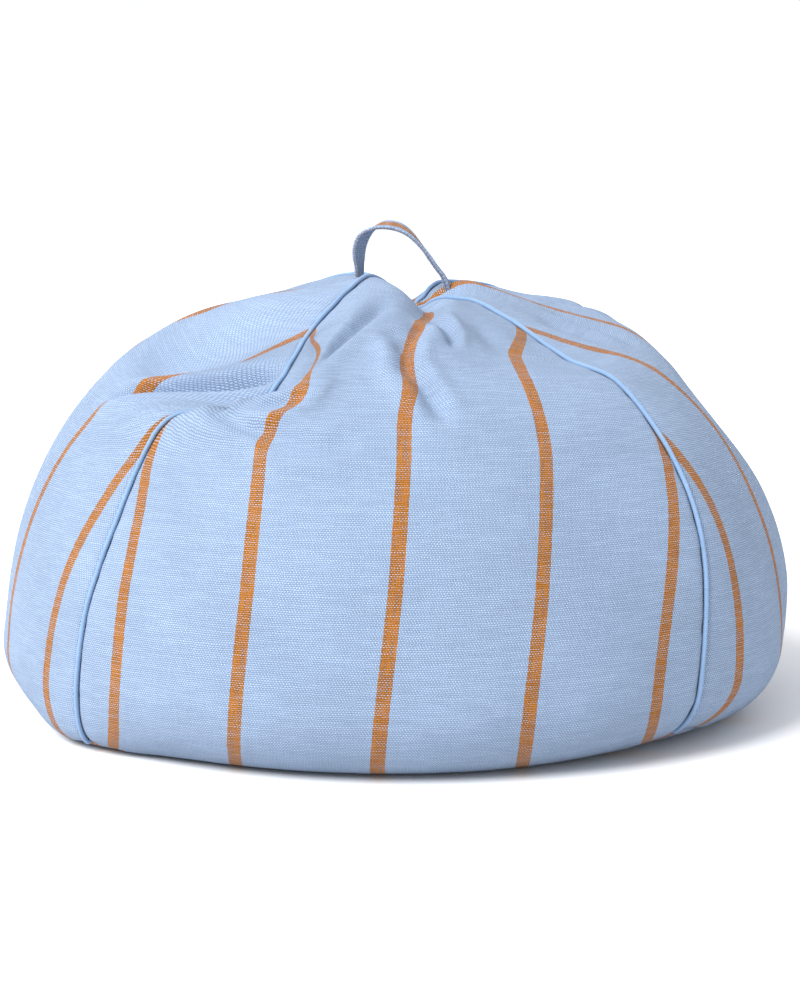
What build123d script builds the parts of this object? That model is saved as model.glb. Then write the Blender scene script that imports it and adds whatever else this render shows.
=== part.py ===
from build123d import *
import math
import os

# Bead-filled floor pouf: a gored cotton cover over a loose inner liner full of polystyrene beads.
# Millimetres, +Z up. The origin is on the floor, under the middle of the bag. The front panel faces -Y.

# ---- driving dimensions: the filled bag's outline, as radius and height ----
WIDEST_R = 307.0
WIDEST_Z = 52.0          # also the radius of the round lower edge
SHOULDER = (265.0, 208.0)
UPPER_SHOULDER = (196.0, 281.0)
CROWN_RIM_Z = 328.0
CROWN_DIP_Z = 311.0      # middle of the pinched crown, where all the seams meet

# ---- cover ----
COVER_T = 1.5            # heavy cotton cloth with its turned seam allowance
BASE_SEAM_R = 263.0
PIPING_R = 2.25
PIPING_CORE_R = 1.5
PIPING_PROUD = 0.75      # height of the cord's centre over the cloth's outer face
PIPING_START_R = 4.6     # the four cords meet here without crossing
FLOOR_CLEARANCE = 0.3    # the cords end just above the floor
SEAM_GAP = 0.05
CROWN_PATCH_R = 46.0
CROWN_PATCH_T = 1.2

# ---- hand loop ----
STRAP_W = 18.0
STRAP_T = 2.5
STRAP_FOOT_W = 9.0       # the strap is folded narrower where it enters the cover
STRAP_SPREAD_H = 16.0    # height above the hinge line at which it has its full width
LOOP_SPAN = 71.0
LOOP_ROUTE = [(0.0, 0.0), (-3.0, 28.0), (22.0, 38.5), (45.0, 28.0), (LOOP_SPAN, 0.0)]
LOOP_BENDS = [15.0, 18.0, 30.0]
LOOP_MIDDLE = (4.5, 4.0, 332.5)
LOOP_YAW = -12.0         # the left foot is sewn in further back
LOOP_LEAN = 6.0          # the loop leans a little to the front
LOOP_ROOT_GAP = 0.4      # between the turning loop and its sewn-in ends
TAB_DEPTH = 24.0

# ---- zip fasteners: coil rows, tapes, stops and sliders ----
TAPE_T = 0.6
TAPE_EDGE_Y = 15.0
COIL_IN_Y = 0.6
COIL_OUT_Y = 3.2
COIL_HALF_T = 1.1
STOP_L = 3.5
STOP_HALF_T = 1.3
SLIDER_L = 12.0
SLIDER_HALF_W = 4.3
SLIDER_PLATE_IN = 1.35
SLIDER_PLATE_OUT = 2.3
SLIDER_FLANGE_IN_Y = 3.5
SLIDER_FLANGE_TIP = 0.55
SLIDER_WEB_L = 5.0
SLIDER_WEB_T = 0.8

COVER_ZIP_HALF_L = 224.0
COVER_ZIP_Z = 4.9
COVER_SLIDER_X = 208.0
COVER_SLOT_HALF_W = 8.5
LINER_ZIP_HALF_L = 150.0
LINER_ZIP_Y = 120.0
LINER_ZIP_Z = 4.3
LINER_SLIDER_X = 136.0
LINER_SLOT_HALF_W = 5.0

# ---- zip pull and the bridge that holds it ----
PULL_HINGE_DROP = 3.05   # hinge line of the pull below the tape's middle
PULL_HALF_T = 0.5
PULL_REACH = 24.0
PULL_W = 6.0
PULL_TAB_START = 5.5
PULL_EYE_HALF_W = 1.6
PULL_HOLE_R = 1.5
BRIDGE_HALF_L = 4.5
BRIDGE_HALF_W = 0.8
BRIDGE_POST_L = 1.6
BRIDGE_BAR_T = 0.7
BRIDGE_DEPTH = 4.5

# ---- liner and fill ----
LINER_INSET = 3.0
LINER_T = 1.0
LINER_SEAM_R = 245.0
FILL_INSET = 4.3
COVER_ZIP_ROOM = (232.0, 19.0, 8.0)    # half length, half width and top of the room left for a zip
LINER_ZIP_ROOM = (156.0, 18.0, 7.2)
LABEL_SIZE = (50.0, 28.0, 0.3)
LABEL_MIDDLE = (80.0, 48.0)

BIG = 800.0              # larger than the whole bag, for cutting tools
PANELS = {"right": 0, "back": 90, "left": 180, "front": 270}
SIDES = ("back", "front")
SEAMS = {"back_right": 45, "back_left": 135, "front_left": 225, "front_right": 315}


# ---- the bag's outline ----
def outline_arcs(offset_out=0.0):
    """(start, middle, end) of each tangent arc, from the floor out and up to the crown's middle."""
    heading = 0.0
    points = [(WIDEST_R - WIDEST_Z, 0.0), (WIDEST_R, WIDEST_Z), SHOULDER, UPPER_SHOULDER]
    arcs = []

    def outside(angle):
        return Vector(math.sin(angle), -math.cos(angle)) * offset_out

    def add_arc(start, end):
        nonlocal heading
        chord = Vector(*end) - Vector(*start)
        chord_angle = math.atan2(chord.Y, chord.X)
        half_turn = chord_angle - heading
        bulge = Vector(chord.Y, -chord.X) * (math.tan(half_turn / 2) / 2)
        middle = (Vector(*start) + Vector(*end)) * 0.5 + bulge
        next_heading = chord_angle + half_turn
        arcs.append(
            (
                Vector(*start) + outside(heading),
                middle + outside(chord_angle),
                Vector(*end) + outside(next_heading),
            )
        )
        heading = next_heading

    for start, end in zip(points, points[1:]):
        add_arc(start, end)
    # the top arc levels off at the crown's rim, then two equal arcs dip to the middle
    level_chord = (heading + math.pi) / 2
    rim_r = UPPER_SHOULDER[0] + (CROWN_RIM_Z - UPPER_SHOULDER[1]) / math.tan(level_chord)
    dip_middle = (rim_r / 2, (CROWN_RIM_Z + CROWN_DIP_Z) / 2)
    add_arc(UPPER_SHOULDER, (rim_r, CROWN_RIM_Z))
    add_arc((rim_r, CROWN_RIM_Z), dip_middle)
    add_arc(dip_middle, (0.0, CROWN_DIP_Z))
    return arcs


def in_xz(point):
    return Vector(point.X, 0, point.Y)


def outline_edges(offset_out=0.0):
    arcs = outline_arcs(offset_out)
    return [ThreePointArc(in_xz(start), in_xz(middle), in_xz(end)) for start, middle, end in arcs]


def bag_solid(inset):
    """The bag's whole volume, inset from the cover's outer face."""
    edges = outline_edges(-inset)
    floor_middle = Vector(0, 0, inset)
    axis = Line(edges[-1] @ 1, floor_middle)
    floor = Line(floor_middle, edges[0] @ 0)
    return revolve(make_face(edges + [axis, floor]), Axis.Z, 360)


def bag_shell(outer_inset, inner_inset):
    return bag_solid(outer_inset) - bag_solid(inner_inset)


# ---- small helpers ----
def span_box(x0, x1, y0, y1, z0, z1):
    return Pos((x0 + x1) / 2, (y0 + y1) / 2, (z0 + z1) / 2) * Box(x1 - x0, y1 - y0, z1 - z0)


def both_sides(solid):
    """The solid and its mirror image across the zip's line."""
    return [solid, mirror(solid, about=Plane.XZ)]


def room_box(room, middle_y=0.0, clearance=0.0):
    half_l = room[0] + clearance
    half_w = room[1] + clearance
    return span_box(-half_l, half_l, middle_y - half_w, middle_y + half_w, -5, room[2] + clearance)


def base_disc(radius):
    return Cylinder(radius, 40)


def quarter(mid_angle, half_gap):
    """A quarter of all space about the Z axis, stopping half_gap short of both seam planes."""
    corner = half_gap * math.sqrt(2)
    corners = Polyline((corner, 0), (BIG, BIG - corner), (BIG, corner - BIG), close=True)
    wedge = extrude(make_face(corners), BIG)
    return Rot(0, 0, mid_angle) * wedge


# ---- cover ----
def cover_panel(mid_angle, wall):
    return wall & quarter(mid_angle, PIPING_R + SEAM_GAP)


def piping(seam_angle, outer_r, inner_r=0.0):
    """Cord lying in one seam, from the crown's middle to the base seam."""
    path = Wire(outline_edges(PIPING_PROUD))
    section_plane = Plane(origin=path @ 0, z_dir=path % 0)
    cord = sweep(section_plane * Circle(outer_r), path)
    if inner_r:
        cord -= sweep(section_plane * Circle(inner_r), path)
    cord -= Pos(0, 0, CROWN_DIP_Z) * Cylinder(PIPING_START_R, 60)
    cord -= base_disc(BASE_SEAM_R + 2 * SEAM_GAP)
    cord -= span_box(-BIG, BIG, -BIG, BIG, -PIPING_R * 2, FLOOR_CLEARANCE)
    return Rot(0, 0, seam_angle) * cord


def base_half(side, wall):
    """Half of the round underside, with a folded lip along its side of the zip's slot."""
    slot_l = COVER_ZIP_HALF_L
    slot_w = COVER_SLOT_HALF_W
    disc = wall & base_disc(BASE_SEAM_R - SEAM_GAP)
    lip = span_box(-slot_l - COVER_T, slot_l + COVER_T, -slot_w - COVER_T, slot_w + COVER_T,
                   COVER_T, COVER_ZIP_Z - TAPE_T / 2)
    whole = disc + lip - span_box(-slot_l, slot_l, -slot_w, slot_w, -1, 10)
    return whole & span_box(-BIG, BIG, *sorted((side * SEAM_GAP, side * BIG)), -1, BIG)


def crown_patch():
    disc = Pos(0, 0, CROWN_DIP_Z) * Cylinder(CROWN_PATCH_R, 60)
    outer = COVER_T + SEAM_GAP
    return bag_shell(outer, outer + CROWN_PATCH_T) & disc


def care_label():
    x, y = LABEL_MIDDLE
    length, width, thickness = LABEL_SIZE
    return Pos(x, y, COVER_T + thickness / 2) * Box(length, width, thickness)


# ---- liner ----
def liner_slot():
    half_l = LINER_ZIP_HALF_L
    return span_box(-half_l, half_l, LINER_ZIP_Y - LINER_SLOT_HALF_W, LINER_ZIP_Y + LINER_SLOT_HALF_W, 0, 10)


# ---- zip fasteners, about the tape's middle plane and running along X ----
def zip_tape(half_l):
    return span_box(-half_l - COVER_T, half_l + COVER_T, COIL_OUT_Y, TAPE_EDGE_Y, -TAPE_T / 2, TAPE_T / 2)


def zip_coil(half_l):
    end = half_l - 2 * STOP_L
    return span_box(-end, end, COIL_IN_Y, COIL_OUT_Y, -COIL_HALF_T, COIL_HALF_T)


def zip_stops(half_l):
    start = half_l - 2 * STOP_L
    top = span_box(start, start + STOP_L, COIL_IN_Y, COIL_OUT_Y, -STOP_HALF_T, STOP_HALF_T)
    bottom = span_box(-start - STOP_L, -start, -COIL_OUT_Y, COIL_OUT_Y, -STOP_HALF_T, STOP_HALF_T)
    return both_sides(top) + [bottom]


def zip_slider(with_bridge):
    plate_t = SLIDER_PLATE_OUT - SLIDER_PLATE_IN
    half_l = SLIDER_L / 2
    upper = span_box(-half_l, half_l, -SLIDER_HALF_W, SLIDER_HALF_W, SLIDER_PLATE_IN, SLIDER_PLATE_OUT)
    upper = fillet(upper.edges().filter_by(Axis.Z), plate_t)
    flange = span_box(-half_l + plate_t, half_l - plate_t, SLIDER_FLANGE_IN_Y, SLIDER_HALF_W,
                      SLIDER_FLANGE_TIP, SLIDER_PLATE_OUT)
    upper = upper + both_sides(flange)
    web = Box(SLIDER_WEB_L, SLIDER_WEB_T, SLIDER_PLATE_OUT * 2)
    body = upper + mirror(upper, about=Plane.XY) + web
    if with_bridge:
        bridge = span_box(-BRIDGE_HALF_L, BRIDGE_HALF_L, -BRIDGE_HALF_W, BRIDGE_HALF_W,
                          -BRIDGE_DEPTH, -SLIDER_PLATE_IN)
        eye_half_l = BRIDGE_HALF_L - BRIDGE_POST_L
        bridge -= span_box(-eye_half_l, eye_half_l, -BRIDGE_HALF_W, BRIDGE_HALF_W,
                           -BRIDGE_DEPTH + BRIDGE_BAR_T, -SLIDER_PLATE_OUT)
        body = body + bridge
    return body


def zip_pull():
    """Flat pull lying along -X, about its own hinge line."""
    half_w = PULL_W / 2
    outline = Pos(-PULL_REACH / 2, 0) * RectangleRounded(PULL_REACH, PULL_W, half_w - 0.1)
    square_end = Pos(-PULL_TAB_START / 2, 0) * Rectangle(PULL_TAB_START, PULL_W)
    eye = Pos(-PULL_TAB_START / 2, 0) * Rectangle(PULL_TAB_START, 2 * PULL_EYE_HALF_W)
    hole = Pos(-PULL_REACH + half_w, 0) * Circle(PULL_HOLE_R)
    tab = extrude(outline + square_end - eye - hole, PULL_HALF_T, both=True)
    bar = Rot(90, 0, 0) * Cylinder(PULL_HALF_T, PULL_W)
    return tab + bar


# ---- hand loop, about its hinge line: X runs from foot to foot, Z up ----
def loop_place():
    return Pos(*LOOP_MIDDLE) * Rot(0, 0, LOOP_YAW) * Pos(-LOOP_SPAN / 2, 0, 0)


def hand_loop():
    path = FilletPolyline([(x, 0, z) for x, z in LOOP_ROUTE], radius=LOOP_BENDS)
    start = Plane(origin=path @ 0, x_dir=(0, 1, 0), z_dir=path % 0)
    strap = sweep(start * Rectangle(STRAP_W, STRAP_T), path)
    foot = STRAP_FOOT_W / 2
    full = STRAP_W / 2
    top = LOOP_MIDDLE[2]
    side_view = make_face(
        Polyline((0, foot, 0), (0, full, STRAP_SPREAD_H), (0, full, top),
                 (0, -full, top), (0, -full, STRAP_SPREAD_H), (0, -foot, 0), close=True)
    )
    knuckle = Rot(0, 90, 0) * Cylinder(foot, BIG)
    envelope = extrude(side_view, BIG / 2, both=True)
    roots = [leg_root(x) & knuckle for x in (0.0, LOOP_SPAN)]
    loop = strap & envelope
    return loop + roots


def leg_root(x):
    """The strap's last stretch at one foot, straight down through the hinge line."""
    return Pos(x, 0, 0) * Box(STRAP_T, STRAP_FOOT_W, STRAP_FOOT_W)


def strap_tab(x):
    """Sewn-in end of the strap at one foot, just below the rounded end of the loop."""
    half_w = STRAP_FOOT_W / 2
    half_t = STRAP_T / 2
    return span_box(x - half_t, x + half_t, -half_w, half_w, -TAB_DEPTH, -half_w - LOOP_ROOT_GAP)


# ---- write one STEP file for each piece ----
def write(name, *solids):
    shape = solids[0] if len(solids) == 1 else Compound(children=list(solids))
    export_step(shape, f"parts/{name}.step")


def main():
    os.makedirs("parts", exist_ok=True)
    place = loop_place()
    tabs = [place * strap_tab(x) - bag_solid(COVER_T + SEAM_GAP + CROWN_PATCH_T) for x in (0.0, LOOP_SPAN)]
    wall = bag_shell(0, COVER_T)
    side_wall = wall - base_disc(BASE_SEAM_R + SEAM_GAP)
    for name, angle in PANELS.items():
        write(f"panel_{name}", cover_panel(angle, side_wall) - tabs)
    for name, angle in SEAMS.items():
        write(f"piping_cover_{name}", piping(angle, PIPING_R, PIPING_CORE_R + SEAM_GAP))
        write(f"piping_cord_{name}", piping(angle, PIPING_CORE_R))
    write("base_front", base_half(-1, wall))
    write("base_back", base_half(1, wall))
    write("crown_patch", crown_patch() - tabs)
    write("care_label", care_label())
    write("handle_loop", place * Rot(LOOP_LEAN, 0, 0) * hand_loop())
    write("handle_sewn_ends", *tabs)

    cover_zip = Pos(0, 0, COVER_ZIP_Z)
    for name, tape in zip(SIDES, both_sides(zip_tape(COVER_ZIP_HALF_L))):
        write(f"zip_tape_{name}", cover_zip * tape)
    for name, coil in zip(SIDES, both_sides(zip_coil(COVER_ZIP_HALF_L))):
        write(f"zip_coil_{name}", cover_zip * coil)
    write("zip_stops", *[cover_zip * stop for stop in zip_stops(COVER_ZIP_HALF_L)])
    write("zip_slider", cover_zip * Pos(COVER_SLIDER_X, 0, 0) * zip_slider(True))
    write("zip_pull", cover_zip * Pos(COVER_SLIDER_X, 0, -PULL_HINGE_DROP) * zip_pull())

    liner_zip = Pos(0, LINER_ZIP_Y, LINER_ZIP_Z)
    liner = bag_solid(LINER_INSET) - room_box(COVER_ZIP_ROOM)
    liner -= bag_solid(LINER_INSET + LINER_T) - room_box(COVER_ZIP_ROOM, 0, LINER_T)
    write("liner_wall", liner - base_disc(LINER_SEAM_R + SEAM_GAP))
    write("liner_base", (liner & base_disc(LINER_SEAM_R - SEAM_GAP)) - liner_slot())
    for name, tape in zip(SIDES, both_sides(zip_tape(LINER_ZIP_HALF_L))):
        write(f"liner_zip_tape_{name}", liner_zip * tape)
    write("liner_zip_coils", *[liner_zip * coil for coil in both_sides(zip_coil(LINER_ZIP_HALF_L))])
    write("liner_zip_stops", *[liner_zip * stop for stop in zip_stops(LINER_ZIP_HALF_L)])
    write("liner_zip_slider", liner_zip * Pos(LINER_SLIDER_X, 0, 0) * zip_slider(False))
    fill = bag_solid(FILL_INSET) - room_box(COVER_ZIP_ROOM, 0, LINER_T + SEAM_GAP)
    write("bead_fill", fill - room_box(LINER_ZIP_ROOM, LINER_ZIP_Y))


main()
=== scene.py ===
import math

import bmesh
import bpy
import numpy as np
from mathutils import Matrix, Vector


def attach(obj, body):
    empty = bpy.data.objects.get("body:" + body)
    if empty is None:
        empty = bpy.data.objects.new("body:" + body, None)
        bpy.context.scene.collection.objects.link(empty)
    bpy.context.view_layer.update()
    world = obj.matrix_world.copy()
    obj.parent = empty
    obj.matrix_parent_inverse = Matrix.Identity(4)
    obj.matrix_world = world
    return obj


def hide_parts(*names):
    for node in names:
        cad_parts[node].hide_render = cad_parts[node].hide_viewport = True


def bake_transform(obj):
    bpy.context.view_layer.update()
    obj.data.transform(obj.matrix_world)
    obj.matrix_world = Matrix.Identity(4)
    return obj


# Bead-filled floor pouf: the cloth, seams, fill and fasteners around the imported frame.
# Metres, +Z up; the front panel faces -Y. Angles round the bag are degrees from the front, + towards +X.

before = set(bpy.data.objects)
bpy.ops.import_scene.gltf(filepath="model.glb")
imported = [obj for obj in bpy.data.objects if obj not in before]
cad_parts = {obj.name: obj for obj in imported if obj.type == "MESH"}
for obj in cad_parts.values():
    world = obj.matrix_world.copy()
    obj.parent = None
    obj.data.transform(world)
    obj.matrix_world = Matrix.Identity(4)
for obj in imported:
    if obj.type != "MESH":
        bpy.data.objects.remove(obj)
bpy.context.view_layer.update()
scene = bpy.context.scene

# ---- camera, at the photograph's viewing angle ----
CAMERA_ELEVATION = 8.0
CAMERA_DISTANCE = 1.7
CAMERA_AIM = Vector((0.0032, 0.0026, 0.1519))
CAMERA_LENS = 76.9
SENSOR_WIDTH = 36.0
CLIP_END = 50


def add_camera():
    tilt = math.radians(CAMERA_ELEVATION)
    data = bpy.data.cameras.new("camera")
    data.lens = CAMERA_LENS
    data.sensor_width = SENSOR_WIDTH
    data.clip_end = CLIP_END
    camera = bpy.data.objects.new("camera", data)
    scene.collection.objects.link(camera)
    camera.location = CAMERA_AIM + CAMERA_DISTANCE * Vector((0, -math.cos(tilt), math.sin(tilt)))
    camera.rotation_euler = (math.radians(90) - tilt, 0, 0)
    scene.camera = camera


add_camera()

# ---- the filled bag's outline, as in the frame ----
WIDEST_R = 0.307
WIDEST_Z = 0.052
SHOULDER = (0.265, 0.208)
UPPER_SHOULDER = (0.196, 0.281)
CROWN_RIM_Z = 0.328
CROWN_DIP_Z = 0.311
FLAT_R = WIDEST_R - WIDEST_Z
ARC_STEPS = 200


def outline():
    points = [(FLAT_R, 0.0), (WIDEST_R, WIDEST_Z), SHOULDER, UPPER_SHOULDER]
    heading = 0.0
    rows = []

    def add(start, end):
        nonlocal heading
        dx, dz = end[0] - start[0], end[1] - start[1]
        half = (math.atan2(dz, dx) - heading + math.pi) % (2 * math.pi) - math.pi
        radius = math.hypot(dx, dz) / (2 * math.sin(half))
        for t in np.linspace(0, 1, ARC_STEPS, endpoint=False):
            turned = heading + 2 * half * t
            r = start[0] + radius * (math.sin(turned) - math.sin(heading))
            z = start[1] - radius * (math.cos(turned) - math.cos(heading))
            rows.append((r, z, turned))
        heading += 2 * half

    for start, end in zip(points, points[1:]):
        add(start, end)
    level = (heading + math.pi) / 2
    rim_r = UPPER_SHOULDER[0] + (CROWN_RIM_Z - UPPER_SHOULDER[1]) / math.tan(level)
    middle = (rim_r / 2, (CROWN_RIM_Z + CROWN_DIP_Z) / 2)
    add(UPPER_SHOULDER, (rim_r, CROWN_RIM_Z))
    add((rim_r, CROWN_RIM_Z), middle)
    add(middle, (0.0, CROWN_DIP_Z))
    rows.append((0.0, CROWN_DIP_Z, math.pi))
    rows = np.array(rows)
    steps = np.hypot(np.diff(rows[:, 0]), np.diff(rows[:, 1]))
    return np.concatenate([[0.0], np.cumsum(steps)]), rows


ARC_S, ARC = outline()
TOP_S = ARC_S[-1]
RIM_INDEX = 4 * ARC_STEPS


def meridian(s):
    """Radius, height and heading at arc length s up from the flat underside's edge, which is 0."""
    r = np.interp(s, ARC_S, ARC[:, 0]) + np.minimum(s, 0)
    return r, np.interp(s, ARC_S, ARC[:, 1]), np.interp(s, ARC_S, ARC[:, 2])


def arc_at(height_mm):
    return float(np.interp(height_mm / 1000, ARC[:RIM_INDEX, 1], ARC_S[:RIM_INDEX]))


def smooth(x, a, b):
    t = np.clip((x - a) / (b - a), 0, 1)
    return t * t * (3 - 2 * t)


LATTICE_SIDE = 64
LATTICE = np.random.default_rng(7).random((LATTICE_SIDE,) * 3) * 2 - 1


def waves(x, y, z, size, seed):
    """Smooth seeded noise from -1 to 1 over points in space."""
    cells, parts = [], []
    for k, axis in enumerate((x, y, z)):
        q = axis / size + seed * 7.31 + k * 3.7
        cell = np.floor(q).astype(int)
        part = q - cell
        cells.append(cell)
        parts.append(part * part * (3 - 2 * part))
    total = 0.0
    for i in (0, 1):
        for j in (0, 1):
            for k in (0, 1):
                value = LATTICE[tuple((cell + step) % LATTICE_SIDE for cell, step in zip(cells, (i, j, k)))]
                weight = 1.0
                for part, corner in zip(parts, (i, j, k)):
                    weight = weight * (part if corner else 1 - part)
                total = total + value * weight
    return total


# ---- how the soft filling has settled ----
# pulls: (degrees, height mm, radius round, radius up, radius down, tilt degrees, (dx, dy, dz) mm)
PULLS = [
    (-66, 284, 42, 40, 32, 0, (6, 8, -24)),
    (27, 284, 44, 46, 62, 0, (-15, 0, 0)),
    (100, 318, 40, 50, 50, 0, (0, 0, -6)),
    (-112, 312, 66, 50, 50, 0, (0, 0, -5)),
    (40, 324, 40, 44, 44, 0, (0, -2, -8)),
    (44, 294, 58, 66, 44, 0, (-2, -2, -18)),
    (74, 300, 52, 70, 46, 0, (0, 0, -12)),
    (116, 300, 50, 50, 40, 0, (3, 0, 5)),
    (1, 262, 18, 20, 20, 0, (5, 0, 0)),
    (45, 170, 62, 60, 80, 0, (8, -2, 0)),
    (4, 308, 36, 70, 50, 0, (10, 0, 0)),
    (60, 56, 60, 80, 40, 0, (7, 0, 0)),
    (46, 6, 100, 30, 26, 0, (0, 0, 5)),
    (-48, 4, 60, 24, 30, 0, (-9, -9, -1)),
    (92, 328, 20, 40, 26, 0, (0, 0, 3)),
    (38, 328, 26, 50, 30, 0, (0, -1, -9)),
]
# the hollow where the front-left seam has slumped: movement (mm) at arc lengths (mm) up that seam
SLUMP_ARC = (140, 200, 236, 252, 262, 270, 280, 292, 308, 344, 380, 416, 452, 488, 512, 535)
SLUMP_X = (0, 5, 5, 8, 14, 26, 48, 64, 70, 63, 55, 45, 32, 15, 5, 0)
SLUMP_Y = (0, 0, 0, 0, -3, -4, -4, -8, -14, -12, -8, -4, 0, 0, 0, 0)
SLUMP_Z = (0, 0, 0, 6, 15, 14, 3, -4, -5, -2, 0, 0, 0, 0, 0, 0)
SLUMP_FRONT_W = 72.0
SLUMP_LEFT_W = 46.0
SLUMP_LEAN = 0.33
# how far the cloth has slid over the filling: (degrees, arc mm, radius round, radius up, (round, up) mm)
SLIDES = [
    (-45, 428, 62, 62, (0, -42)),
    (-31, 388, 25, 40, (-25, 0)),
    (-62, 372, 26, 52, (14, -10)),
    (-23, 309, 30, 27, (25, 0)),
]
# dents and bulges: (degrees, height mm, radius round, radius up, radius down, tilt degrees, out mm)
DENTS = [
    (98, 232, 90, 44, 50, 0, -16),
    (98, 96, 80, 60, 36, 0, 8),
    (100, 26, 100, 30, 34, 0, -22),
    (-96, 26, 100, 34, 30, 0, 9),
    (-52, 14, 60, 26, 20, 0, 8),
    (-75, 235, 60, 40, 40, 0, -3),
    (140, 262, 60, 30, 30, 20, -5),
    (215, 275, 50, 26, 30, -15, -6),
    (100, 150, 90, 60, 60, 0, 2),
    (-20, 120, 110, 60, 60, 0, 2),
    (180, 140, 110, 60, 60, 0, 2),
]
# creases: ([(degrees, height mm), ...], width mm, depth mm, depth of the swelling beside it)
CREASES = [
    ([(2, 312), (0, 296), (0, 275), (3, 260), (6, 246), (8, 236)], 7, 7.0, 2.6),
    ([(3, 316), (8, 306), (12, 295), (11, 284)], 7, 5.5, 2.6),
    ([(-34, 240), (-27, 244), (-16, 255)], 6, 5.0, 2.6),
    ([(-44, 243), (-34, 236), (-27, 234), (-20, 231)], 5, 6.0, 3.0),
    ([(-25, 232), (-18, 227), (-12, 224), (-6, 225)], 8, 3.5, 1.8),
    ([(-6, 300), (-3, 292), (-1, 284)], 7, 5.0, 2.0),
    ([(-26, 276), (-20, 298), (-15, 319)], 12, 7.0, 2.5),
    ([(-70, 248), (-60, 256), (-52, 264), (-45, 276)], 9, 17.0, 4.0),
    ([(22, 312), (26, 300), (28, 284)], 10, 2.4, 1.0),
    ([(62, 318), (66, 305), (68, 288)], 10, 2.6, 1.2),
    ([(82, 320), (80, 302), (77, 280)], 9, 2.2, 1.0),
    ([(108, 318), (112, 300), (114, 276)], 10, 2.8, 1.2),
    ([(152, 318), (156, 300), (160, 275)], 10, 3.0, 1.4),
    ([(176, 316), (178, 296), (183, 268), (185, 250)], 8, 3.0, 1.2),
    ([(205, 318), (203, 300), (200, 280)], 9, 2.5, 1.2),
    ([(247, 320), (250, 300), (256, 280)], 10, 2.6, 1.2),
    ([(-88, 318), (-86, 302), (-80, 286)], 9, 2.4, 1.0),
]
TWIST_HEIGHTS = (0.0, 0.06, 0.13, 0.215, 0.30)
TWIST_DEGREES = (-2.6, -1.5, 0.0, 1.3, 1.7)
# the crown (m): valleys beside the pinch, lean, pinch, groove from front to back, the right half's drop
CROWN_VALLEY = 0.004
CROWN_LEAN = 0.008
PINCH_RIGHT = 0.003
PINCH_DOWN = 0.004
GROOVE_DEPTH = 0.017
RIGHT_DROP = 0.006
# uneven filling: (height m, size m, share low down, more at the crown)
RIPPLES = [(0.0016, 0.11, 0.6, 1.0), (0.0007, 0.045, 0.5, 1.5), (0.00022, 0.016, 0.5, 1.5)]


def turned_degrees(z, r):
    return np.interp(z, TWIST_HEIGHTS, TWIST_DEGREES) * smooth(r, 0.0, 0.24)


def around(theta, degrees):
    return (theta - degrees + 180) % 360 - 180


def patch(theta, s, r, row):
    degrees, height, wide, up, down, tilt = row[:6]
    across = np.radians(around(theta, degrees)) * np.maximum(r, 0.03) * 1000
    along = (s - arc_at(height)) * 1000
    c, k = math.cos(math.radians(tilt)), math.sin(math.radians(tilt))
    a = (across * c + along * k) / wide
    b = along * c - across * k
    b = b / np.where(b > 0, up, down)
    return np.exp(-a * a - b * b)


def slump(theta, s, r):
    across = np.radians(around(theta, -45)) * np.maximum(r, 0.03) * 1000
    weight = np.exp(-(across / np.where(across > 0, SLUMP_FRONT_W, SLUMP_LEFT_W)) ** 2)
    level = s * 1000 - SLUMP_LEAN * np.abs(across)
    moves = []
    for values in (SLUMP_X, SLUMP_Y, SLUMP_Z):
        taps = [np.interp(level + d, SLUMP_ARC, values) for d in (-7, -3.5, 0, 3.5, 7)]
        moves.append(sum(taps) / len(taps) * weight / 1000)
    return moves


def crease(theta, s, r, row):
    points, width, depth, swell = row
    nearest = np.full(np.shape(s), 1e3)
    share = np.zeros(np.shape(s))
    local_r = np.maximum(r, 0.02)
    middle = points[len(points) // 2][0]
    x = np.radians(around(theta, middle)) * local_r * 1000
    y = s * 1000
    count = len(points) - 1
    for i, (a, b) in enumerate(zip(points, points[1:])):
        ay, by = arc_at(a[1]) * 1000, arc_at(b[1]) * 1000
        ax = math.radians(a[0] - middle) * local_r * 1000
        bx = math.radians(b[0] - middle) * local_r * 1000
        dx, dy = bx - ax, by - ay
        t = np.clip(((x - ax) * dx + (y - ay) * dy) / np.maximum(dx * dx + dy * dy, 1e-6), 0, 1)
        d = np.hypot(x - ax - t * dx, y - ay - t * dy)
        share = np.where(d < nearest, (i + t) / count, share)
        nearest = np.minimum(nearest, d)
    fade = smooth(share, 0.0, 0.25) * (1 - smooth(share, 0.7, 1.0))
    valley = np.exp(-(nearest / width) ** 2)
    shoulder = np.exp(-((nearest - 2 * width) / width) ** 2)
    return fade * (swell * shoulder - depth * valley) / 1000


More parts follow.
